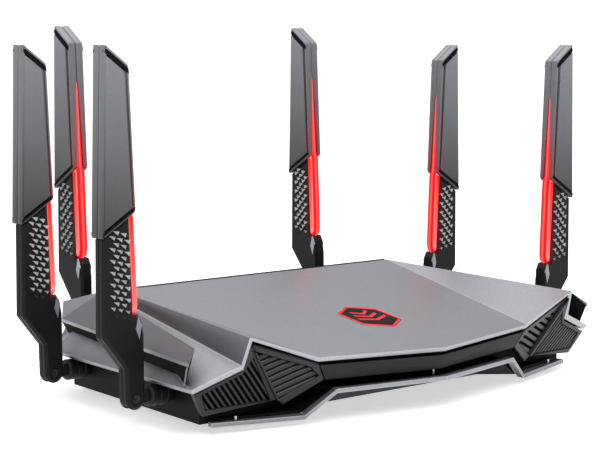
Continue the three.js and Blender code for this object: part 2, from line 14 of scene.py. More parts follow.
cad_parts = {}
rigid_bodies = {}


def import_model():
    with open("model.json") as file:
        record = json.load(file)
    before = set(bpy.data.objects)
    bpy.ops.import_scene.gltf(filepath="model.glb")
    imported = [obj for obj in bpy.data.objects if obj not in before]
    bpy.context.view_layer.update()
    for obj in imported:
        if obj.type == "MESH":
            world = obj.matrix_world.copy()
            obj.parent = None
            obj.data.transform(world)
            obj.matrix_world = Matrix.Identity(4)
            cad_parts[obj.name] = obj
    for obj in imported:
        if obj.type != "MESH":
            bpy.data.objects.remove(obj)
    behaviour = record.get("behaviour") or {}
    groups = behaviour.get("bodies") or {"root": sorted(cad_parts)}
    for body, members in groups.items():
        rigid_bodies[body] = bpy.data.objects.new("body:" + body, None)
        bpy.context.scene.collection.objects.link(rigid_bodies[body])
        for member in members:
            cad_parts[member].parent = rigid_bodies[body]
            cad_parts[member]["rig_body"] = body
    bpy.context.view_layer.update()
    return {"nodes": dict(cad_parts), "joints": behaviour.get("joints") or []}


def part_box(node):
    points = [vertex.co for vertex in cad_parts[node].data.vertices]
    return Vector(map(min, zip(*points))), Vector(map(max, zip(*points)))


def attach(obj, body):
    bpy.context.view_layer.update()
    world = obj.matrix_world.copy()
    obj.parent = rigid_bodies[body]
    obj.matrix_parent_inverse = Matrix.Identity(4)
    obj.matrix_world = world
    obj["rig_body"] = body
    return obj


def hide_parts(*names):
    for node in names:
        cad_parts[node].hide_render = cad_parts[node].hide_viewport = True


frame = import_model()
MM = 0.001
nodes = frame["nodes"]
scene = bpy.context.scene


# ---------------------------------------------------------------- camera, light and floor
CAMERA_PLACE = (-0.6213, -0.6875, 0.1768)
CAMERA_PITCH = 84.18
CAMERA_TURN = -41.92
LENS = 106.04

BODY_MIDDLE = (0, 0, 0.04)
NEAR_SIDE = (-0.05, -0.08, 0.04)
# Each soft box: its place, its size, its power and the spot that it faces.
SOFT_BOXES = {
    "top_box": ((0.1, 0.4, 1.6), 1.6, 9, BODY_MIDDLE),
    "front_box": ((-0.7, -1.6, 1.3), 0.8, 4, BODY_MIDDLE),
    "near_box": ((-0.32, -0.5, 0.7), 0.3, 1.6, NEAR_SIDE),
}

# The studio's brightness by height, from the horizon at 0 to overhead at 1. Both ends are white.
HORIZON = 0.03
STUDIO_GREYS = ((0.1, 0.4), (0.25, 0.1), (0.42, 0.14), (0.66, 1.05))
STUDIO_STRENGTH = 1.3
FLOOR_HALF = 6
FLOOR_SHADE = 0.7
FLOOR_GLOW = 0.6


def make_camera():
    data = bpy.data.cameras.new("camera")
    data.lens = LENS
    data.sensor_width = 36
    camera = bpy.data.objects.new("camera", data)
    camera.location = CAMERA_PLACE
    camera.rotation_euler = (math.radians(CAMERA_PITCH), 0, math.radians(CAMERA_TURN))
    scene.collection.objects.link(camera)
    scene.camera = camera


def area_light(name, place, size, power, aim):
    """A square soft box at place, facing aim."""
    data = bpy.data.lights.new(name, "AREA")
    data.size = size
    data.energy = power
    light = bpy.data.objects.new(name, data)
    light.location = place
    light.rotation_euler = (Vector(aim) - Vector(place)).to_track_quat("-Z", "Y").to_euler()
    scene.collection.objects.link(light)


def make_world():
    """A white studio: bright at the horizon and overhead, with a grey band between them."""
    world = bpy.data.worlds.new("studio")
    scene.world = world
    world.use_nodes = True
    tree = world.node_tree
    background = tree.nodes["Background"]
    coordinates = tree.nodes.new("ShaderNodeTexCoord")
    axes = tree.nodes.new("ShaderNodeSeparateXYZ")
    ramp = tree.nodes.new("ShaderNodeValToRGB")
    ramp.color_ramp.elements[0].position = HORIZON
    ramp.color_ramp.elements[0].color = (1, 1, 1, 1)
    ramp.color_ramp.elements[1].position = 1
    ramp.color_ramp.elements[1].color = (1, 1, 1, 1)
    for place, grey in STUDIO_GREYS:
        ramp.color_ramp.elements.new(place).color = (grey, grey, grey * 1.02, 1)
    tree.links.new(coordinates.outputs["Generated"], axes.inputs[0])
    tree.links.new(axes.outputs["Z"], ramp.inputs["Fac"])
    tree.links.new(ramp.outputs["Color"], background.inputs["Color"])
    background.inputs["Strength"].default_value = STUDIO_STRENGTH


def make_floor():
    """A white floor that glows a little, so that only a faint shadow shows on it."""
    bm = bmesh.new()
    bmesh.ops.create_grid(bm, x_segments=1, y_segments=1, size=FLOOR_HALF)
    mesh = bpy.data.meshes.new("floor")
    bm.to_mesh(mesh)
    bm.free()
    floor = bpy.data.objects.new("floor", mesh)
    scene.collection.objects.link(floor)
    surface = bpy.data.materials.new("floor_white")
    surface.use_nodes = True
    shader = surface.node_tree.nodes["Principled BSDF"]
    shader.inputs["Base Color"].default_value = (FLOOR_SHADE, FLOOR_SHADE, FLOOR_SHADE, 1)
    shader.inputs["Roughness"].default_value = 0.8
    shader.inputs["Emission Color"].default_value = (1, 1, 1, 1)
    shader.inputs["Emission Strength"].default_value = FLOOR_GLOW
    mesh.materials.append(surface)


make_camera()
make_world()
make_floor()
for box_name, box_values in SOFT_BOXES.items():
    area_light(box_name, *box_values)
scene.view_settings.view_transform = "Standard"


# ---------------------------------------------------------------- materials
LIGHT_HALF = 3.1  # half the antenna light's greatest width
COVER_SPAN = (50, 132)  # the heights w over which the antenna covers' paint brightens, as painted light and shade


class Surface:
    """A procedural material: a Principled shader with the nodes that vary it."""

    def __init__(self, name, color, roughness, metallic, slot):
        self.material = bpy.data.materials.new(name)
        self.material.use_nodes = True
        self.tree = self.material.node_tree
        self.shader = self.tree.nodes["Principled BSDF"]
        self.slot = slot
        self.color = color
        self.set("Base Color", (*color, 1))
        self.set("Roughness", roughness)
        self.set("Metallic", metallic)

    def set(self, socket, value):
        self.shader.inputs[socket].default_value = value

    def add(self, kind, **values):
        node = self.tree.nodes.new(kind)
        for name, value in values.items():
            node.inputs[name].default_value = value
        return node

    def link(self, source, target):
        self.tree.links.new(source, target)

    def noise(self, feature, detail=3.0, stretch=(1, 1, 1)):
        """Noise with features of this size in millimetres, fixed to the piece."""
        place = self.add("ShaderNodeTexCoord")
        mapping = self.add("ShaderNodeMapping", Scale=stretch)
        texture = self.add("ShaderNodeTexNoise", Scale=1 / (feature * MM), Detail=detail)
        self.link(place.outputs["Object"], mapping.inputs["Vector"])
        self.link(mapping.outputs["Vector"], texture.inputs["Vector"])
        return texture.outputs["Fac"]

    def ramp(self, factor, low, high, start=0.3, end=0.7):
        """Two colours, mixed by a factor between start and end."""
        node = self.add("ShaderNodeValToRGB")
        node.color_ramp.elements[0].position = start
        node.color_ramp.elements[0].color = (*low, 1)
        node.color_ramp.elements[1].position = end
        node.color_ramp.elements[1].color = (*high, 1)
        self.link(factor, node.inputs["Fac"])
        return node.outputs["Color"]

    def speckle(self, feature, amount, painted_shade_depth=0):
        """The base colour varies by this share, in specks.

        Given a depth in millimetres as its last argument, it also paints shade, darkening where faces this
        close would shade it."""
        low = [c * (1 - amount) for c in self.color]
        high = [c * (1 + amount) for c in self.color]
        paint = self.ramp(self.noise(feature), low, high)
        if painted_shade_depth:
            shade = self.add("ShaderNodeAmbientOcclusion", Distance=painted_shade_depth * MM)
            shade.samples = 8
            darkening = self.ramp(shade.outputs["AO"], (0.1, 0.1, 0.1), (1, 1, 1), 0.25, 0.85)
            paint = self.product(paint, darkening)
        self.link(paint, self.shader.inputs["Base Color"])

    def vary_roughness(self, feature, low, high):
        spread = self.add("ShaderNodeMapRange")
        spread.inputs["To Min"].default_value = low
        spread.inputs["To Max"].default_value = high
        self.link(self.noise(feature, 2.0), spread.inputs["Value"])
        self.link(spread.outputs["Result"], self.shader.inputs["Roughness"])

    def local_axes(self):
        """u, v and w of the attribute "local": the place in the antenna's own axes, in millimetres."""
        local = self.add("ShaderNodeAttribute")
        local.attribute_name = "local"
        axes = self.add("ShaderNodeSeparateXYZ")
        self.link(local.outputs["Vector"], axes.inputs[0])
        return axes.outputs

    def span(self, value, low, high):
        """0 at low and 1 at high, and level beyond them."""
        node = self.add("ShaderNodeMapRange")
        node.inputs["From Min"].default_value = low
        node.inputs["From Max"].default_value = high
        self.link(value, node.inputs["Value"])
        return node.outputs["Result"]

    def product(self, a, b):
        node = self.add("ShaderNodeVectorMath")
        node.operation = "MULTIPLY"
        self.link(a, node.inputs[0])
        self.link(b, node.inputs[1])
        return node.outputs["Vector"]

    def red_glow(self, axes, across, rise, fall, strength):
        """Painted red light from the light guide, on the face beside it.

        It grows with u over across, grows with w over rise, and ends over fall."""
        sideways = self.span(axes["X"], *across)
        upwards = self.span(axes["Z"], *rise)
        ending = self.span(axes["Z"], *reversed(fall))
        all_three = self.product(sideways, self.product(upwards, ending))
        glow = self.ramp(all_three, (0, 0, 0), (1, 0.01, 0.01), 0, 1)
        self.link(glow, self.shader.inputs["Emission Color"])
        self.set("Emission Strength", strength)

    def bump(self, feature, height, strength):
        node = self.add("ShaderNodeBump", Strength=strength, Distance=height * MM)
        self.link(self.noise(feature), node.inputs["Height"])
        self.link(node.outputs["Normal"], self.shader.inputs["Normal"])


def silver_paint(name="silver_paint", shade=1.0):
    """Satin metallic paint with a fine sparkle, and painted shade that darkens it in corners."""
    surface = Surface(name, [c * shade for c in (0.29, 0.30, 0.322)], 0.44, 0.68, "silver")
    surface.speckle(0.5, 0.13, painted_shade_depth=14)
    surface.vary_roughness(2.5, 0.4, 0.48)
    surface.bump(0.35, 0.02, 0.35)
    return surface


def painted_highlight_silver():
    """A lighter copy of the paint for rims and rounded edges: a painted highlight."""
    surface = Surface("silver_painted_highlight", (0.38, 0.39, 0.41), 0.42, 0.6, "silver")
    surface.speckle(0.5, 0.1)
    surface.vary_roughness(2.5, 0.36, 0.46)
    return surface


def graphite_paint():
    """The darker paint of the antenna covers, with painted shade deepening it towards the bend, painted
    light brightening it upwards, and painted red light beside the light guide.
    """
    surface = Surface("graphite_paint", (0.1, 0.102, 0.108), 0.42, 0.5, "silver")
    # Painted shade towards the bend and painted light towards the top: the colour runs from deep to bright
    # up the cover.
    deep = [c * 0.5 for c in surface.color]
    bright = [c * 2.3 for c in surface.color]
    axes = surface.local_axes()
    height = surface.span(axes["Z"], *COVER_SPAN)
    paint = surface.ramp(height, deep, bright, 0, 1)
    grain = surface.ramp(surface.noise(0.4), (0.88, 0.88, 0.88), (1.12, 1.12, 1.12))
    surface.link(surface.product(paint, grain), surface.shader.inputs["Base Color"])
    surface.vary_roughness(2.5, 0.36, 0.46)
    surface.bump(0.3, 0.02, 0.3)
    surface.red_glow(axes, across=(15.2, 18.6), rise=(40, 52), fall=(72, 106), strength=0.16)
    return surface


def grained_black(name, color, roughness, specular, spread):
    """Moulded plastic with a fine spark-eroded grain. Its roughness varies over spread."""
    surface = Surface(name, color, roughness, 0, "black")
    surface.set("Specular IOR Level", specular)
    surface.speckle(0.3, 0.2)
    surface.vary_roughness(1.5, *spread)
    surface.bump(0.25, 0.03, 0.4)
    return surface


def body_black():
    """The antenna bodies: grained black, with the light's red glow painted on the face beside it."""
    surface = grained_black("body_black", (0.006, 0.006, 0.0065), 0.5, 0.15, (0.42, 0.56))
    axes = surface.local_axes()
    surface.red_glow(axes, across=(13.8, 18.6), rise=(6, 16), fall=(56, 60), strength=0.14)
    return surface


def smooth_black():
    """Smoother plastic, for the vents, the jack, the buttons and small black parts."""
    surface = Surface("smooth_black", (0.012, 0.012, 0.013), 0.3, 0, "black")
    surface.set("Specular IOR Level", 0.3)
    surface.speckle(1.5, 0.15)
    surface.vary_roughness(3, 0.255, 0.36)
    return surface


def gloss_black():
    surface = Surface("gloss_black", (0.004, 0.004, 0.005), 0.1, 0, "gloss_black")
    surface.set("Specular IOR Level", 0.2)
    surface.speckle(4, 0.2)
    surface.vary_roughness(6, 0.08, 0.14)
    return surface


def painted_shade_black():
    """Painted shade: near black for the unlit inside of vents and gaps."""
    surface = Surface("painted_shade_black", (0.003, 0.003, 0.003), 0.8, 0, "black")
    surface.set("Specular IOR Level", 0.1)
    surface.speckle(2, 0.3)
    return surface


def glowing():
    """The lit light guide. Across v it has a pale middle, then red, and a thin pale line near each side, a
    painted highlight.
    """
    surface = Surface("red_light", (0.35, 0.004, 0.004), 0.4, 0, "red_light")
    surface.set("Specular IOR Level", 0.08)
    size = surface.add("ShaderNodeMath")
    size.operation = "ABSOLUTE"
    surface.link(surface.local_axes()["Y"], size.inputs[0])
    bands = surface.add("ShaderNodeValToRGB")
    stops = (
        (0.0, (1, 0.15, 0.14)), (0.25, (1, 0.03, 0.03)), (0.48, (1, 0.003, 0.003)),
        (0.76, (0.85, 0.001, 0.001)), (0.88, (1, 0.3, 0.28)), (1.0, (1, 0.01, 0.01)),
    )
    middle = bands.color_ramp.elements
    middle[0].color = (*stops[0][1], 1)
    middle[1].color = (*stops[-1][1], 1)
    for place, color in stops[1:-1]:
        middle.new(place).color = (*color, 1)
    surface.link(surface.span(size.outputs[0], 0, LIGHT_HALF), bands.inputs["Fac"])
    surface.link(bands.outputs["Color"], surface.shader.inputs["Emission Color"])
    surface.set("Emission Strength", 1.15)
    return surface


def red_ring():
    surface = Surface("red_ring", (0.55, 0.006, 0.006), 0.22, 0, "red_ring")
    surface.speckle(1.2, 0.12)
    surface.set("Coat Weight", 0.6)
    surface.set("Emission Color", (1, 0.012, 0.012, 1))
    surface.set("Emission Strength", 0.35)
    return surface


def metal(name, color, roughness, slot):
    """Bare metal with faint brushing along X."""
    surface = Surface(name, color, roughness, 1.0, slot)
    factor = surface.noise(0.4, 2.0, (0.08, 1, 1))
    low = [c * 0.86 for c in color]
    surface.link(surface.ramp(factor, low, color), surface.shader.inputs["Base Color"])
    surface.vary_roughness(1, roughness * 0.8, roughness * 1.3)
    return surface


def plastic(name, color, roughness, slot):
    surface = Surface(name, color, roughness, 0, slot)
    surface.speckle(0.5, 0.1)
    surface.bump(0.3, 0.02, 0.3)
    return surface


SILVER = silver_paint()
# The wings take the cover's paint darkened, as painted shade on their tops.
WING_PAINTED_SHADE = silver_paint("wing_painted_shade", 0.62)
PAINTED_HIGHLIGHT = painted_highlight_silver()
TRAY = grained_black("tray_black", (0.005, 0.005, 0.0055), 0.6, 0.1, (0.5, 0.66))
GRAPHITE = graphite_paint()
BLACK = grained_black("matte_black", (0.0085, 0.0085, 0.009), 0.5, 0.22, (0.42, 0.56))
SMOOTH = smooth_black()
GLOSS = gloss_black()
PAINTED_SHADE = painted_shade_black()
BODY = body_black()
LIGHT = glowing()
RING = red_ring()
STEEL = metal("port_steel", (0.62, 0.62, 0.63), 0.28, "port_metal")
# Silver for the pyramids' upward facets: painted light.
PAINTED_LIGHT_FACET = metal("facet_painted_light", (0.5, 0.5, 0.51), 0.42, "silver")
GOLD = metal("contact_gold", (0.83, 0.6, 0.24), 0.25, "port_metal")
ALUMINIUM = metal("heatsink_aluminium", (0.6, 0.61, 0.62), 0.38, "aluminium")
BLUE = plastic("port_blue", (0.016, 0.09, 0.36), 0.45, "port_blue")
BOARD = plastic("board_green", (0.01, 0.07, 0.025), 0.42, "board")
RUBBER = plastic("foot_rubber", (0.012, 0.012, 0.012), 0.85, "foot_rubber")


# ---------------------------------------------------------------- meshes
TO_METRES = Matrix.Scale(MM, 4)
SAME_PLACE = 0.02 * MM
SAME_PLANE = 0.01  # radians
CRISP_ANGLE = 30
FLAT_LIMIT = 2  # on a softened piece, edges that turn by more than this many degrees stay crisp
ROUND_LIMIT = 35  # the same, beside its roundings or where it is turned


def piece(name, bm, surface):
    """Makes an object from a bmesh, drawn in whatever axes its points are in."""
    bmesh.ops.recalc_face_normals(bm, faces=bm.faces)
    mesh = bpy.data.meshes.new(name)
    bm.to_mesh(mesh)
    bm.free()
    mesh.materials.append(surface.material)
    obj = bpy.data.objects.new(name, mesh)
    scene.collection.objects.link(obj)
    return obj


def smooth(obj):
    """Smooth shading, with the sharper edges kept crisp."""
    obj.data.shade_smooth()
    obj.data.set_sharp_from_angle(angle=math.radians(CRISP_ANGLE))
    return obj


def settle(obj):
    """Applies the modifiers."""
    graph = bpy.context.evaluated_depsgraph_get()
    mesh = bpy.data.meshes.new_from_object(obj.evaluated_get(graph))
    obj.modifiers.clear()
    obj.data = mesh
    return obj


def cut(obj, *cutters):
    """Takes the cutters away from obj, and removes them."""
    for cutter in cutters:
        modifier = obj.modifiers.new("cut", "BOOLEAN")
        modifier.object = cutter
        modifier.operation = "DIFFERENCE"
        modifier.solver = "EXACT"
    settle(obj)
    for cutter in cutters:
        bpy.data.objects.remove(cutter)
    return obj


def joined(name, objects):
    """One object from several closed bodies, each keeping its own material."""
    selected = {"selected_objects": objects, "selected_editable_objects": objects}
    with bpy.context.temp_override(active_object=objects[0], object=objects[0], **selected):
        bpy.ops.object.join()
    objects[0].name = name
    objects[0].data.name = name
    return objects[0]


def placed(obj, matrix, keep_local=False):
    """Moves obj's mesh to the frame. With keep_local, its points remember where they were."""
    mesh = obj.data
    if keep_local:
        attribute = mesh.attributes.new("local", "FLOAT_VECTOR", "POINT")
        attribute.data.foreach_set("vector", [c for v in mesh.vertices for c in v.co])
    mesh.transform(matrix)
    if matrix.determinant() < 0:
        mesh.flip_normals()
    return obj


def show(obj, surface, body, *replaced):
    """The piece rides on a body and stands for the CAD nodes named. surface is not used."""
    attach(obj, body)
    if replaced:
        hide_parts(*replaced)
    return obj


def loft(rings):
    """A closed body through rings of equally many points, with a flat face at each end."""
    bm = bmesh.new()
    rows = [[bm.verts.new(point) for point in ring] for ring in rings]
    count = len(rows[0])
    for lower, upper in zip(rows, rows[1:]):
        for i in range(count):
            following = (i + 1) % count
            bm.faces.new((lower[i], lower[following], upper[following], upper[i]))
    bm.faces.new(list(reversed(rows[0])))
    bm.faces.new(rows[-1])
    return bm


def hull(points):
    """The convex body round some points."""
    bm = bmesh.new()
    made = [bm.verts.new(point) for point in points]
    result = bmesh.ops.convex_hull(bm, input=made)
    unused = set(result["geom_unused"]) | set(result["geom_interior"])
    bmesh.ops.delete(bm, geom=[e for e in unused if isinstance(e, bmesh.types.BMVert)], context="VERTS")
    bmesh.ops.dissolve_limit(bm, angle_limit=SAME_PLANE, verts=bm.verts, edges=bm.edges)
    return bm


def block(low, high):
    """A box between two corners."""
    xs, ys, zs = zip(low, high)
    return hull([(x, y, z) for x in xs for y in ys for z in zs])


def anticlockwise(outline):
    area = sum(a[0] * b[1] - b[0] * a[1] for a, b in zip(outline, outline[1:] + outline[:1]))
    return outline if area > 0 else outline[::-1]


def inset(outline, distance):
    """An anticlockwise outline with every side moved inwards."""
    moved = []
    count = len(outline)
    for i in range(count):
        here = Vector(outline[i])
        before = (here - Vector(outline[i - 1])).normalized()
        after = (Vector(outline[(i + 1) % count]) - here).normalized()
        inward = Vector((-before.y - after.y, before.x + after.x))
        moved.append(here + inward * (distance / (1 + before.dot(after))))
    return moved


def rounded(outline, radius, steps=4):
    """An outline with each corner rounded over this length on both sides."""
    points = []
    count = len(outline)
    for i in range(count):
        here = Vector(outline[i])
        back = Vector(outline[i - 1]) - here
        ahead = Vector(outline[(i + 1) % count]) - here
        start = here + back.normalized() * min(radius, back.length * 0.45)
        end = here + ahead.normalized() * min(radius, ahead.length * 0.45)
        for step in range(steps + 1):
            t = step / steps
            points.append(start.lerp(here, t).lerp(here.lerp(end, t), t))
    return points


def slab(outline, layers):
    """A plate across v: each layer gives how far the outline is inset, and its v."""
    flat = anticlockwise(outline)
    return loft([[(u, v, w) for u, w in inset(flat, amount)] for amount, v in layers])


def lathe(axis, profile, centre=(0, 0, 0), steps=40):
    """A turned body along 'x', 'y' or 'z' from a list of (place along the axis, radius)."""
    order = {"x": (0, 1, 2), "y": (1, 2, 0), "z": (2, 0, 1)}[axis]
    rings = []
    for along, radius in profile:
        ring = []
        for step in range(steps):
            angle = 2 * math.pi * step / steps
            point = list(centre)
            point[order[0]] += along
            point[order[1]] += radius * math.cos(angle)
            point[order[2]] += radius * math.sin(angle)
            ring.append(point)
        rings.append(ring)
    return loft(rings)


def rounded_edges(bm, width, degrees, turned=False):
    """Rounds the edges that turn by more than this many degrees, and returns the faces of the rounding."""
    limit = math.radians(degrees)
    sharp = [e for e in bm.edges if len(e.link_faces) == 2 and e.calc_face_angle(0) > limit]
    made = bmesh.ops.bevel(
        bm, geom=sharp, offset=width, segments=2, profile=0.6, affect="EDGES", clamp_overlap=True)
    rounding = set(made["faces"])
    for face in bm.faces:
        face.smooth = True
    for edge in bm.edges:
        curved = turned or any(face in rounding for face in edge.link_faces)
        edge.smooth = edge.calc_face_angle(0) < math.radians(ROUND_LIMIT if curved else FLAT_LIMIT)
    return rounding


def evened(obj):
    """Shades wide faces flat, so that only the rounded edges turn the light."""
    modifier = obj.modifiers.new("evened", "WEIGHTED_NORMAL")
    modifier.keep_sharp = True
    return settle(obj)


def softened(node, surface, width=0.4, degrees=18, turned=False, flatness=0.7, edge=None):
    """A finished copy of a CAD node: its flat faces made whole and its edges rounded.

    The rounding may have a finish of its own, edge, which here is always the painted highlight."""
    source = nodes[node]
    bm = bmesh.new()
    bm.from_mesh(source.data)
    bmesh.ops.remove_doubles(bm, verts=bm.verts, dist=SAME_PLACE)
    bmesh.ops.dissolve_limit(bm, angle_limit=math.radians(flatness), verts=bm.verts, edges=bm.edges)
    for face in rounded_edges(bm, width * MM, degrees, turned):
        face.material_index = 1 if edge else 0
    obj = piece(f"{node}_shown", bm, surface)
    if edge:
        obj.data.materials.append(edge.material)
    return show(evened(obj), surface, source["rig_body"], node)


# ---------------------------------------------------------------- housing
FRONT_FACING = -0.75  # faces that point forwards more than this take the rim's painted highlight
UNDERSIDE = -0.12  # a wing's faces that point down more than this are under its lip
TAIL_FACET = 0.13  # a wing's faces that point back more than this are its tail
UNDER_LIP = 2  # the materials of a wing's faces there, by their place in its list: painted shade under the lip
TAIL = 3

# Points on the right side and the middle. The left side mirrors them.
BEZEL_FACE = ((0, -100.0, 26.2), (71.6, -89.2, 28.4), (66.4, -87.5, 20.5), (0, -98.2, 19.0))
BEZEL_BACK = ((0, -84, 26.2), (69, -80, 28.4), (64, -80, 20.5), (0, -84, 19.0))
# A near-black body in the gap under the lip, as painted shade.
BEZEL_GAP = (
    (0, -97.4, 25), (0, -97.4, 27.9), (0, -86, 25), (0, -86, 27.9),
    (69, -87, 26), (69, -87, 29.7), (66, -80, 26), (66, -80, 29.7),
)
TRAY_WEB = (
    (58, -86.5, 13.8), (58, -70, 13.8), (58, -70, 6),
    (76.5, -79.8, 4.5), (76.5, -70, 4.5), (76.5, -70, 7),
)
# A near-black body under each wing's lip, as painted shade.
WING_SHADE = (
    (131.8, -70.2, 39.0), (138.6, -74.2, 34.0), (137.9, -71.3, 25.2),
    (132.4, -62.5, 25.4), (136.5, -62, 33),
)

# The spacer pins between the fascia, the vents and the lip: x, y and the heights of their ends.
SPACER_PINS = ((0, -93.5, 15.5, 19.2), (110.1, -73.8, 5.6, 7.4), (-110.1, -73.8, 5.6, 7.4))
SPACER_RADIUS = 0.75
SIDES = (("right", 1), ("left", -1))


def on_side(turn, points):
    """The points on the right, or their mirror images where turn is -1."""
    return [(turn * x, y, z) for x, y, z in points]


def both_sides(points):
    """The points and their mirror images."""
    return list(points) + on_side(-1, points)


def filler(name, points, surface):
    """A plain body that closes a gap in the housing."""
    show(placed(piece(name, hull(points), surface), TO_METRES), surface, "root")


def top_cover():
    """The painted cover, with brighter rims along its edges and its front: a painted highlight."""
    cover = softened("top_cover", SILVER, 0.5, edge=PAINTED_HIGHLIGHT)
    for face in cover.data.polygons:
        if face.normal.y < FRONT_FACING:
            face.material_index = 1


def front_bezel():
    """The black fascia under the cover's lip, a near-black body in the gap above it as painted shade, and
    the bright spacer pins below.
    """
    bm = hull(both_sides(BEZEL_FACE) + both_sides(BEZEL_BACK))
    rounded_edges(bm, 0.45, 18)
    bezel = placed(evened(piece("front_bezel_shown", bm, BLACK)), TO_METRES)
    show(bezel, BLACK, "root", "front_bezel")
    filler("bezel_gap_painted_shade", both_sides(BEZEL_GAP), PAINTED_SHADE)
    pins = []
    for x, y, low, high in SPACER_PINS:
        profile = [(low, SPACER_RADIUS), (high, SPACER_RADIUS)]
        pins.append(smooth(piece("pin", lathe("z", profile, (x, y, 0), 20), STEEL)))
    spacers = placed(joined("spacer_pins", pins), TO_METRES)
    show(spacers, STEEL, "root")


def side_wings():
    """The raised wedges: a darker paint on top as painted shade, the cover's paint on their tail, and
    near-black painted shade below their lip and in a body beneath it.
    """
    for side, turn in SIDES:
        wing = softened(f"wing_{side}", WING_PAINTED_SHADE, 0.25, flatness=1.2, edge=PAINTED_HIGHLIGHT)
        wing.data.materials.append(PAINTED_SHADE.material)
        wing.data.materials.append(SILVER.material)
        for face in wing.data.polygons:
            if face.normal.z < UNDERSIDE:
                face.material_index = UNDER_LIP
            elif face.normal.y > TAIL_FACET and face.material_index == 0:
                face.material_index = TAIL
        filler(f"wing_shade_{side}", on_side(turn, WING_SHADE), PAINTED_SHADE)


def tray_webs():
    """Black webs between the tray's nose and the low corners of the lip."""
    for side, turn in SIDES:
        filler(f"tray_web_{side}", on_side(turn, TRAY_WEB), TRAY)


top_cover()
front_bezel()
side_wings()
tray_webs()
# The lower trim's rounded edges take the painted highlight.
softened("lower_trim", SILVER, 0.45, edge=PAINTED_HIGHLIGHT)
softened("base_tray", TRAY, 0.5)
softened("rear_vent", BLACK, 0.3)
softened("rear_panel", BLACK, 0.25, turned=True)
for foot in ("foot_front_left", "foot_front_right", "foot_rear_left", "foot_rear_right"):
    softened(foot, RUBBER, 0.5, 40, turned=True)


# ---------------------------------------------------------------- badge
LENS_DEPTH = 2.2  # the lens is as deep as the cover's skin
CHEVRON_START = -7  # along the badge from its middle to the first chevron
CHEVRON_PITCH = 5.2
CHEVRON_REACHES = (9.5, 7.5, 5.5)  # how far each goes to the sides
CHEVRON_SLOPE = 4.2  # how much further forward its tips lie
CHEVRON_WIDTHS = (2.4, 2.2)  # along the badge, at its middle and at its tips
CHEVRON_SUNK = 0.2
CHEVRON_PROUD = 0.12


def badge():
    """A plain six-sided badge with nested chevrons, all generic."""
    softened("badge_ring", RING, 0.25)
    softened("badge_lens", GLOSS, 0.2)
    low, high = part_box("badge_lens")
    front = Vector((0, low.y, low.z + LENS_DEPTH * MM)) / MM
    rear = Vector((0, high.y, high.z)) / MM
    along = (rear - front).normalized()
    up = Vector((1, 0, 0)).cross(along)
    middle = (front + rear) / 2
    strips = []
    for step, reach in enumerate(CHEVRON_REACHES):
        start = CHEVRON_START + step * CHEVRON_PITCH
        outline = (
            (0, 0), (reach, CHEVRON_SLOPE),
            (reach, CHEVRON_SLOPE + CHEVRON_WIDTHS[1]), (0, CHEVRON_WIDTHS[0]),
        )
        for side in (1, -1):
            points = []
            for across, forward in outline:
                spot = middle + along * (start + forward) + Vector((side * across, 0, 0))
                points += [spot - up * CHEVRON_SUNK, spot + up * CHEVRON_PROUD]
            strips.append(piece("strip", hull(points), RING))
    chevrons = joined("badge_chevrons", strips)
    placed(chevrons, TO_METRES)
    show(chevrons, RING, "root")


badge()


# ---------------------------------------------------------------- corner vents
VENT_RECESS = 3.2
SHORTEST_SLAT = 0.8
# A slat's heights, and its half widths there as a share of its full width.
SLAT_PROFILE = ((-VENT_RECESS + 0.05, 0.5), (-1.1, 0.5), (-0.55, 0.36))

# The right vent's corners. Its two faces meet along the ridge, from VENT_RIDGE up to VENT_FACET.
VENT_LOW = (66.9, -87.4, 20.6)
VENT_INNER = (85.7, -79.3, 9.5)
VENT_RIDGE = (88.4, -78.9, 12.1)
VENT_FACET = (111.2, -86.6, 42.2)
VENT_NOSE = (72.6, -89.6, 29.2)
VENT_OUTER = (128.1, -72.6, 8.8)
VENT_SHELF = (136.0, -76.2, 20.4)
VENT_NOTCH = (112.7, -82.7, 29.2)
# For the inner and the outer face: its corners, its opening, the line of a slat, their number and share.
VENT_FACES = {
    "inner": (
        (VENT_LOW, VENT_INNER, VENT_RIDGE, VENT_FACET, VENT_NOSE),
        ((70.6, -87.7, 22.6), (88.3, -79.4, 12.9), (89.6, -79.4, 14.2),
         (108.6, -85.7, 38.3), (76.4, -88.4, 27.6)),
        ((95.3, -81.2, 20.8), (76.3, -88.6, 28.1)), 9, 0.72,
    ),
    "outer": (
        (VENT_RIDGE, VENT_OUTER, VENT_SHELF, VENT_NOTCH, VENT_FACET),
        ((92.4, -78.4, 12.6), (127.4, -73.6, 12.0), (131.6, -76.6, 19.9),
         (111.6, -82.3, 27.6), (108.0, -84.9, 35.4)),
        ((120.7, -81, 26.6), (107.8, -76.9, 13)), 13, 0.55,
    ),
}
RIDGE_ENDS = ((108.4, -86.2, 38.2), (88.6, -79.3, 12.4))
RIDGE_OUTWARD = (0.15, -0.91, -0.38)
RIDGE_HALF = 0.8
RIDGE_SUNK = 2
RIDGE_PROUD = 0.5


class Panel:
    """A flat face with axes of its own: x and y in the face, height out of it."""

    def __init__(self, corners):
        self.corners = [Vector(corner) for corner in corners]
        self.origin = self.corners[0]
        self.normal = Vector((0, 0, 0))
        for a, b in zip(self.corners, self.corners[1:] + self.corners[:1]):
            self.normal += (a - self.origin).cross(b - self.origin)
        self.normal.normalize()
        self.x = self.corners[1] - self.origin
        self.x = (self.x - self.normal * self.x.dot(self.normal)).normalized()
        self.y = self.normal.cross(self.x)

    def flat(self, point):
        away = Vector(point) - self.origin
        return Vector((away.dot(self.x), away.dot(self.y)))

    def place(self, flat, height=0.0):
        return self.origin + self.x * flat[0] + self.y * flat[1] + self.normal * height


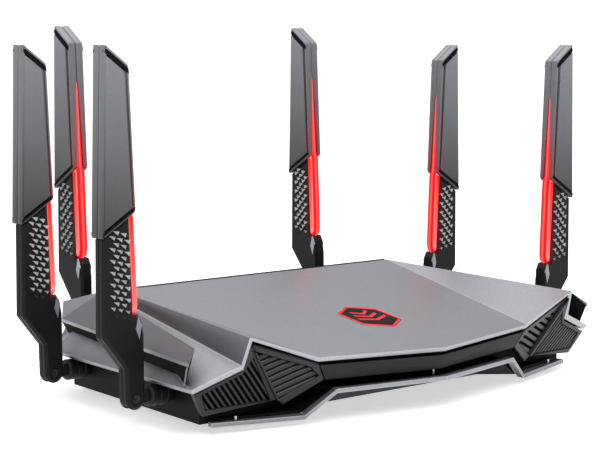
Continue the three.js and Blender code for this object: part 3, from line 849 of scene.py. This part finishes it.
def clipped(outline, start, direction):
    """Where a line first enters an outline and last leaves it, or None if that is too short a way."""
    across = Vector((-direction.y, direction.x))
    crossings = []
    for a, b in zip(outline, outline[1:] + outline[:1]):
        from_line = across.dot(a - start)
        to_line = across.dot(b - start)
        if from_line * to_line < 0:
            crossings.append(direction.dot(a.lerp(b, from_line / (from_line - to_line)) - start))
    if len(crossings) < 2 or max(crossings) - min(crossings) < SHORTEST_SLAT:
        return None
    return start + direction * min(crossings), start + direction * max(crossings)


def vent_panel(name, corners, opening, slat_line, count, fill):
    """A framed grille: a border, a sunk floor in near-black painted shade and a row of slats across the
    opening.

    slat_line is two points that one slat's line runs through, and fill is a slat's share of the pitch."""
    panel = Panel(corners)
    frame_outline = [panel.flat(corner) for corner in panel.corners]
    hole = [panel.flat(corner) for corner in opening]
    border = piece("border", loft([
        [panel.place(p, -VENT_RECESS - 2.5) for p in inset(frame_outline, 0.4)],
        [panel.place(p, -0.5) for p in frame_outline],
        [panel.place(p) for p in inset(frame_outline, 0.5)],
        [panel.place(p) for p in inset(hole, -0.35)],
        [panel.place(p, -0.4) for p in hole],
        [panel.place(p, -VENT_RECESS) for p in inset(hole, 0.1)],
    ]), SMOOTH)
    floor = piece("floor", loft([
        [panel.place(p, -VENT_RECESS + 0.02) for p in inset(hole, 0.15)],
        [panel.place(p, -VENT_RECESS + 0.12) for p in inset(hole, 0.2)],
    ]), PAINTED_SHADE)
    direction = (panel.flat(slat_line[1]) - panel.flat(slat_line[0])).normalized()
    across = Vector((-direction.y, direction.x))
    reaches = [across.dot(p) for p in hole]
    pitch = (max(reaches) - min(reaches)) / count
    slat_space = inset(hole, 0.25)
    parts = [border, floor]
    for i in range(count):
        centre = min(reaches) + pitch * (i + 0.5)
        rings = []
        for height, share in SLAT_PROFILE:
            half = share * fill * pitch
            edges = [clipped(slat_space, across * (centre + side * half), direction) for side in (-1, 1)]
            if None in edges:
                break
            left, right = edges
            rings.append([panel.place(p, height) for p in (left[0], left[1], right[1], right[0])])
        if len(rings) == len(SLAT_PROFILE):
            parts.append(piece("slat", loft(rings), SMOOTH))
    return joined(name, parts)


def ridge_bar(turn):
    """The bar that covers the seam between a vent's two faces."""
    ends = [Vector(point) for point in on_side(turn, RIDGE_ENDS)]
    outward = Vector(on_side(turn, [RIDGE_OUTWARD])[0]).normalized()
    across = (ends[1] - ends[0]).normalized().cross(outward)
    corners = []
    for end in ends:
        for sideways in (-RIDGE_HALF, RIDGE_HALF):
            corners.append(end + across * sideways - outward * RIDGE_SUNK)
            corners.append(end + across * sideways * 0.5 + outward * RIDGE_PROUD)
    return piece("bar", hull(corners), SMOOTH)


def vents():
    """The two corner vents. Outlines run anticlockwise seen from outside, so the left ones are reversed."""
    for side, turn in SIDES:
        parts = []
        for face, (corners, opening, slat_line, count, fill) in VENT_FACES.items():
            parts.append(vent_panel(
                f"vent_{face}_{side}", on_side(turn, corners)[::turn], on_side(turn, opening)[::turn],
                on_side(turn, slat_line), count, fill))
        grille = joined(f"vent_{side}", [*parts, ridge_bar(turn)])
        placed(grille, TO_METRES)
        show(grille, SMOOTH, "root", f"vent_grille_{side}")


vents()


# ---------------------------------------------------------------- ports, buttons and inside
HARDWARE = {
    "usb_port": STEEL, "wan_port": BLUE, "lan_ports": STEEL, "dc_jack": SMOOTH,
    "power_button": SMOOTH, "wps_button": SMOOTH, "led_button": SMOOTH, "reset_button": SMOOTH,
    "main_board": BOARD, "heatsink": ALUMINIUM,
}
LAN_SOCKETS = 4
CONTACTS = 8
CONTACT_PITCH = 1.02
CONTACT_HALF = 0.22
CONTACT_LENGTH = 9
CONTACT_DROP = 2.2  # how far a contact slopes down to its free end
CONTACT_THICKNESS = 0.4
CONTACT_START = 14  # how far behind the face of the sockets
CONTACT_HEIGHT = 4.4  # above their middle
TONGUE_HALF = 5.6
TONGUE_DEPTHS = (13.5, 1)  # behind the face of the USB port
TONGUE_HEIGHTS = (0.5, 2.2)  # above its middle


def middle_of(node):
    """The middle of a node's box, and its face on the port side, in millimetres."""
    low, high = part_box(node)
    return (Vector(low) + Vector(high)) / 2 / MM, high.y / MM


def socket_contacts():
    """Eight sprung contacts in each network socket."""
    low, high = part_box("lan_ports")
    width = (high.x - low.x) / MM / LAN_SOCKETS
    centres = [low.x / MM + width * (i + 0.5) for i in range(LAN_SOCKETS)]
    centres.append(middle_of("wan_port")[0].x)
    middle, face = middle_of("lan_ports")
    back = face - CONTACT_START
    top = middle.z + CONTACT_HEIGHT
    tip = top - CONTACT_DROP
    parts = []
    for centre in centres:
        for i in range(CONTACTS):
            x = centre + (i - (CONTACTS - 1) / 2) * CONTACT_PITCH
            points = []
            for edge in (x - CONTACT_HALF, x + CONTACT_HALF):
                points += [(edge, back, top), (edge, back, top - CONTACT_THICKNESS)]
                points += [(edge, back + CONTACT_LENGTH, tip)]
                points += [(edge, back + CONTACT_LENGTH, tip - CONTACT_THICKNESS)]
            parts.append(piece("contact", hull(points), GOLD))
    contacts = joined("socket_contacts", parts)
    placed(contacts, TO_METRES)
    show(contacts, GOLD, "root")


def usb_tongue():
    """The blue tongue in the USB port."""
    middle, face = middle_of("usb_port")
    low = (middle.x - TONGUE_HALF, face - TONGUE_DEPTHS[0], middle.z + TONGUE_HEIGHTS[0])
    high = (middle.x + TONGUE_HALF, face - TONGUE_DEPTHS[1], middle.z + TONGUE_HEIGHTS[1])
    show(placed(piece("usb_tongue", block(low, high), BLUE), TO_METRES), BLUE, "root")


for hardware_node, finish in HARDWARE.items():
    softened(hardware_node, finish, 0.2, 40, turned=True)
socket_contacts()
usb_tongue()


# ---------------------------------------------------------------- antennas
SEATS = ("left_front", "left_rear", "right_front", "right_rear", "back_left", "back_right")
PIN_U = 18.7
PIN_W = -29.5
# The upper cover's outline as (u, w): its tip, down the inner edge, and along the sloping lower edge.
SHELL = [(2.2, 132.3), (15.4, 122.8), (18.6, 57), (16.9, 55.4), (0, 45)]
SHELL_HALF = 4.9  # v of the raised plate, and so half the thickness
SHELL_FACE = 4.15
GROOVE = 3.5  # v of the groove round the raised plate
SEAM = 0.15  # v where each half of the cover starts
BODY_HALF = 3.9
FOOT_RADIUS = 5.25
FORK_HALF = 2.3
BAR_LOW = 9.0
BAR_HIGH = 102.0
BAR_DEPTH = 3.2
BAR_SLACK = 0.12  # how much wider than the light its groove is cut
BAR_REACH = 12  # how far the cutter stands out, as a multiple of the slack
# The light's heights w, its half width there, and how far it stands out of the inner edge.
BAR_STATIONS = (
    (BAR_LOW, 1.2, -1.6), (BAR_LOW + 1.5, 2.5, -0.3), (BAR_LOW + 5, 2.9, 0.2), (30, 3.0, 0.25),
    (54.6, LIGHT_HALF, 0.2), (56.5, 2.5, -0.1), (58.5, 1.95, -0.5), (80, 1.25, -0.55),
    (BAR_HIGH - 3, 0.65, -0.6), (BAR_HIGH, 0.5, -0.7),
)
OTHER_FACE = Matrix.Scale(-1, 4, (0, 1, 0))


def inner_edge(w):
    """u of the leaning inner edge at this height."""
    (top_u, top_w), (low_u, low_w) = SHELL[1], SHELL[2]
    return top_u + (low_u - top_u) * (top_w - w) / (top_w - low_w)


def light_bar(margin=0.0):
    """The light guide: a rounded bar down the lower half and a thin wedge between the two shells.

    With a margin, it is the cutter for the light's groove."""
    steps = 12
    rings = []
    for w, half, proud in BAR_STATIONS:
        if w == BAR_LOW:
            w -= margin
        elif w == BAR_HIGH:
            w += margin
        half += margin
        crown = inner_edge(w) + proud
        bulge = min(half, 1.5)
        ring = []
        for step in range(steps + 1):
            angle = math.pi * step / steps
            out = crown + margin * BAR_REACH - bulge + math.sin(angle) ** 0.7 * bulge
            ring.append((out, -half * math.cos(angle), w))
        ring.append((crown - BAR_DEPTH - margin, half, w))
        ring.append((crown - BAR_DEPTH - margin, -half, w))
        rings.append(ring)
    return loft(rings)


def bevel_strip(outline, start, end, near, far, low):
    """A strip of near-black painted shade inside one side of an outline, sloping up to the plate.

    Its edges lie near and far from that side. The near one is at the height low."""
    along = (Vector(end) - Vector(start)).normalized()
    inward = Vector((-along.y, along.x))
    border = inset(outline, 0.25)
    points = []
    for distance, v in ((near, low), (far, SHELL_HALF - 0.05)):
        for spot in clipped(border, Vector(start) + inward * distance, along):
            points.append((spot.x, v, spot.y))
            points.append((spot.x, SHELL_FACE - 0.3, spot.y))
    return piece("strip", hull(points), PAINTED_SHADE)


def antenna_shell(side):
    """Half of the upper cover: a rounded rim, a raised wide plate and a bevel in near-black painted shade
    at each end of it.

    side is 1 for the half on +v and -1 for the other."""
    sharp_outline = anticlockwise(SHELL)
    rim = piece("rim", slab(rounded(sharp_outline, 1.2), [
        (0.55, SEAM), (0.15, 0.45), (0, 1.1), (0, 3.9), (0.12, 4.3),
        (0.4, 4.5), (1.05, 4.5), (1.15, 4.3), (1.2, GROOVE), (2.6, GROOVE),
    ]), GRAPHITE)
    hollow = [(3.4, 44), (14.4, 52), (13.4, 120), (3.8, 126)]
    core = piece("core", slab(hollow, [(0, -1), (0, 1.7)]), PAINTED_SHADE)
    bar = piece("bar", light_bar(BAR_SLACK), LIGHT)
    cut(rim, core, bar)
    tip, top, low_inner, low_bend, low_outer = [Vector(point) for point in SHELL]
    down = Vector(((top - tip).y, -(top - tip).x)).normalized()
    upwards = Vector((-(low_bend - low_outer).y, (low_bend - low_outer).x)).normalized()
    plate_outline = [tip + down * 2.3, low_outer + upwards * 1.3, low_bend + upwards * 1.3,
                     low_inner + upwards * 1.1, top + down * 2.3]
    plate = piece("plate", slab(rounded(inset(plate_outline, 1.55), 0.5, 3), [
        (0, GROOVE - 0.2), (0, SHELL_HALF - 0.18), (0.22, SHELL_HALF)]), GRAPHITE)
    upper = bevel_strip(sharp_outline, top, tip, 0.7, 3.1, 4.35)
    lower = bevel_strip(sharp_outline, low_outer, low_bend, 0.35, 2.1, 4.3)
    shell = joined("shell", [rim, plate, upper, lower])
    if side < 0:
        placed(shell, OTHER_FACE)
    return smooth(shell)


def body_outline():
    """The lower body: a bend, a straight neck and a round foot."""
    foot = []
    steps = 12
    for i in range(steps + 1):
        angle = math.pi + math.pi * i / steps
        foot.append((PIN_U + FOOT_RADIUS * math.cos(angle), PIN_W + FOOT_RADIUS * math.sin(angle)))
    outer_side = [(0.9, 44.9), (0.6, 0.2), (13.0, -15.2)]
    inner_side = [(23.6, -0.5), (22.4, 6.1), (20.2, 9.4), (17.6, 9.4), (16, 54.6)]
    return outer_side + foot + inner_side


PYRAMID_ROWS = 15
PYRAMID_COLUMNS = range(-2, 4)
PYRAMID_START = (8.2, 47.6)  # u and w of the first pyramid
PYRAMID_PITCH = 4.1
PYRAMID_DROP = 2.68  # from one row to the next
ROW_SLOPE = 0.27
PYRAMID_BASE = ((-1.9, 1.05), (1.7, 0.65), (0.1, -1.65))
PYRAMID_PEAK = (0.1, -1.0)
PYRAMID_HEIGHT = 1.1
PYRAMID_SUNK = 0.3
MIDDLE_ROW = 7
FIELD_LEFT = 4.4  # the sides of the pyramids' field at its middle row, and how they close in from there
FIELD_RIGHT = 16.4
LEFT_TAPER = 0.14
RIGHT_TAPER = 0.12
LEAN_START = 20  # above this w the right side leans in, with the body
LEAN = 0.045
COVER_SLOPE = 0.62  # the cover's lower edge starts at w = 45, and rises with u
COVER_START = (0.9, 45)
COVER_GAP = 1.8
FADE_START = 7  # the pyramids shrink towards this w, over FADE_SPAN above it
FADE_SPAN = 9
FADE_END = 0.12  # any smaller ones are left out
SILVER_END = 0.45  # and smaller ones than this have no silver facet of painted light
ACCENT_OUTLINE = ((19.9, 9.2), (22.1, 4.6), (20.6, -2.6), (18.3, 3.0))
ACCENT_CENTRE = (20.2, 3)
ACCENT_TAPER = (0.88, 0.9)
RIVET_PROFILE = ((3.2, 1.9), (3.85, 1.9), (4.0, 1.7), (3.95, 0.9), (3.7, 0.6))


def on_field(u, w, row):
    """Whether a pyramid here is clear of the body's edges and of the cover above it."""
    left = FIELD_LEFT + LEFT_TAPER * abs(row - MIDDLE_ROW)
    right = FIELD_RIGHT - RIGHT_TAPER * abs(row - MIDDLE_ROW) - max(0, w - LEAN_START) * LEAN
    cover_u, cover_w = COVER_START
    below_cover = w < cover_w + (u - cover_u) * COVER_SLOPE - COVER_GAP
    return left < u < right and below_cover


def pyramids(side):
    """Rows of small three-sided pyramids on a wide face, fading out towards the bend.

    The facet that looks up is satin silver, as painted light, and the other two are black."""
    bm = bmesh.new()
    first_u, first_w = PYRAMID_START
    peak_u, peak_w = PYRAMID_PEAK
    for row in range(PYRAMID_ROWS):
        for column in PYRAMID_COLUMNS:
            u = first_u + column * PYRAMID_PITCH + (row % 2) * PYRAMID_PITCH / 2
            w = first_w - row * PYRAMID_DROP - (u - first_u) * ROW_SLOPE
            fade = min(1, max(0.0, (w - FADE_START) / FADE_SPAN))
            if not on_field(u, w, row) or fade <= FADE_END:
                continue
            size = 0.6 + 0.4 * fade
            corners = [bm.verts.new((u + a * size, 0, w + b * size)) for a, b in PYRAMID_BASE]
            sunk = [bm.verts.new((u + a * size, -PYRAMID_SUNK, w + b * size)) for a, b in PYRAMID_BASE]
            top = bm.verts.new((u + peak_u * size, PYRAMID_HEIGHT * fade, w + peak_w * size))
            for i in range(3):
                following = (i + 1) % 3
                facet = bm.faces.new((corners[i], corners[following], top))
                facet.material_index = 1 if i == 0 and fade > SILVER_END else 0
                bm.faces.new((sunk[i], sunk[following], corners[following], corners[i]))
            bm.faces.new(list(reversed(sunk)))
    obj = piece("pyramids", bm, SMOOTH)
    obj.data.materials.append(PAINTED_LIGHT_FACET.material)
    obj.data.transform(Matrix.Translation((0, BODY_HALF - PYRAMID_SUNK + 0.02, 0)))
    if side < 0:
        placed(obj, OTHER_FACE)
    return obj


def accent(side):
    """The silver diamond beside the lower end of the light, narrower at its face than at its foot."""
    centre_u, centre_w = ACCENT_CENTRE
    taper_u, taper_w = ACCENT_TAPER
    points = []
    for u, w in ACCENT_OUTLINE:
        points.append((u, BODY_HALF - 0.8, w))
        face_u = centre_u + (u - centre_u) * taper_u
        face_w = centre_w + (w - centre_w) * taper_w
        points.append((face_u, BODY_HALF - 0.12, face_w))
    obj = piece("accent", hull(points), SILVER)
    if side < 0:
        placed(obj, OTHER_FACE)
    return obj


def rivet(side):
    """The dished end of the hinge pin on a side of the foot."""
    profile = [(side * v, radius) for v, radius in RIVET_PROFILE]
    return smooth(piece("rivet", lathe("y", profile, (PIN_U, 0, PIN_W), 24), SMOOTH))


def antenna_body():
    """The body with its light groove, the fork in its foot, and what stands on its two wide faces."""
    body = piece("body", slab(body_outline(), [
        (1.5, -BODY_HALF + 0.3), (1.3, -BODY_HALF + 0.35), (0, -2.5), (0, -0.35), (0.3, -0.1),
        (0.3, 0.1), (0, 0.35), (0, 2.5), (1.3, BODY_HALF - 0.35), (1.5, BODY_HALF - 0.3),
    ]), BODY)
    fork_low = (PIN_U - 4, -FORK_HALF, PIN_W - 8)
    fork_high = (PIN_U + 12, FORK_HALF, PIN_W + 5.2)
    fork = piece("slot", block(fork_low, fork_high), BLACK)
    bar = piece("bar", light_bar(BAR_SLACK), LIGHT)
    cut(body, fork, bar)
    parts = [body]
    for side in (1, -1):
        parts += [pyramids(side), accent(side), rivet(side)]
    return joined("body", parts)


def antenna_swivel():
    """The hinge tongue, its pin and the ribbed barrel, in axes centred on the pin."""
    barrel = smooth(piece("barrel", lathe("x", [
        (8.1, 4.4), (8.5, 4.9), (9.0, 5.2), (12.2, 5.2), (12.5, 4.8),
        (13.1, 4.8), (13.4, 5.2), (16.2, 5.2), (16.5, 4.8), (17.1, 4.8),
        (17.4, 5.2), (19.2, 5.2), (19.8, 4.7), (19.9, 3.8), (26.3, 3.8),
    ]), BLACK))
    outline = rounded([(-3.4, -3.2), (8.6, -3.0), (8.6, 3.0), (-3.4, 3.2)], 2.6, 5)
    layers = [(0.4, -1.9), (0, -1.6), (0, 1.6), (0.4, 1.9)]
    tongue = piece("tongue", slab(outline, layers), BLACK)
    pin = smooth(piece("pin", lathe("y", [(-3.6, 1.2), (3.6, 1.2)], steps=20), STEEL))
    return joined("swivel", [barrel, tongue, pin])


def seat_matrix(seat):
    """From antenna axes in millimetres, centred on the pin, to the frame."""
    joint = next(j for j in frame["joints"] if j["name"] == f"antenna_{seat}_turn")
    pin = Vector(joint["pos_m"])
    if seat.startswith("back"):
        inwards = Vector((0, -1, 0))
    else:
        inwards = Vector((-1 if pin.x > 0 else 1, 0, 0))
    up = Vector((0, 0, 1))
    across = up.cross(inwards)
    turn = Matrix((inwards, across, up)).transposed().to_4x4()
    return Matrix.Translation(pin) @ turn @ TO_METRES


def copy_of(source, name):
    obj = bpy.data.objects.new(name, source.data.copy())
    scene.collection.objects.link(obj)
    return obj


def antennas():
    """Each part is made once, and copied to the six seats."""
    patterns = {
        "body": (antenna_body(), BODY, True),
        "shell_a": (antenna_shell(-1), GRAPHITE, True),
        "shell_b": (antenna_shell(1), GRAPHITE, True),
        "light": (smooth(piece("light", light_bar(), LIGHT)), LIGHT, True),
        "swivel": (antenna_swivel(), BLACK, False),
    }
    from_bend = Matrix.Translation((-PIN_U, 0, -PIN_W))
    for seat in SEATS:
        matrix = seat_matrix(seat)
        for part, (pattern, surface, measured_from_bend) in patterns.items():
            obj = copy_of(pattern, f"antenna_{seat}_{part}_shown")
            placed(obj, matrix @ from_bend if measured_from_bend else matrix, keep_local=True)
            body = f"antenna_{seat}_knuckle" if part == "swivel" else f"antenna_{seat}_blade"
            show(obj, surface, body, f"antenna_{seat}_{part}")
    for pattern, _, _ in patterns.values():
        bpy.data.objects.remove(pattern)


antennas()
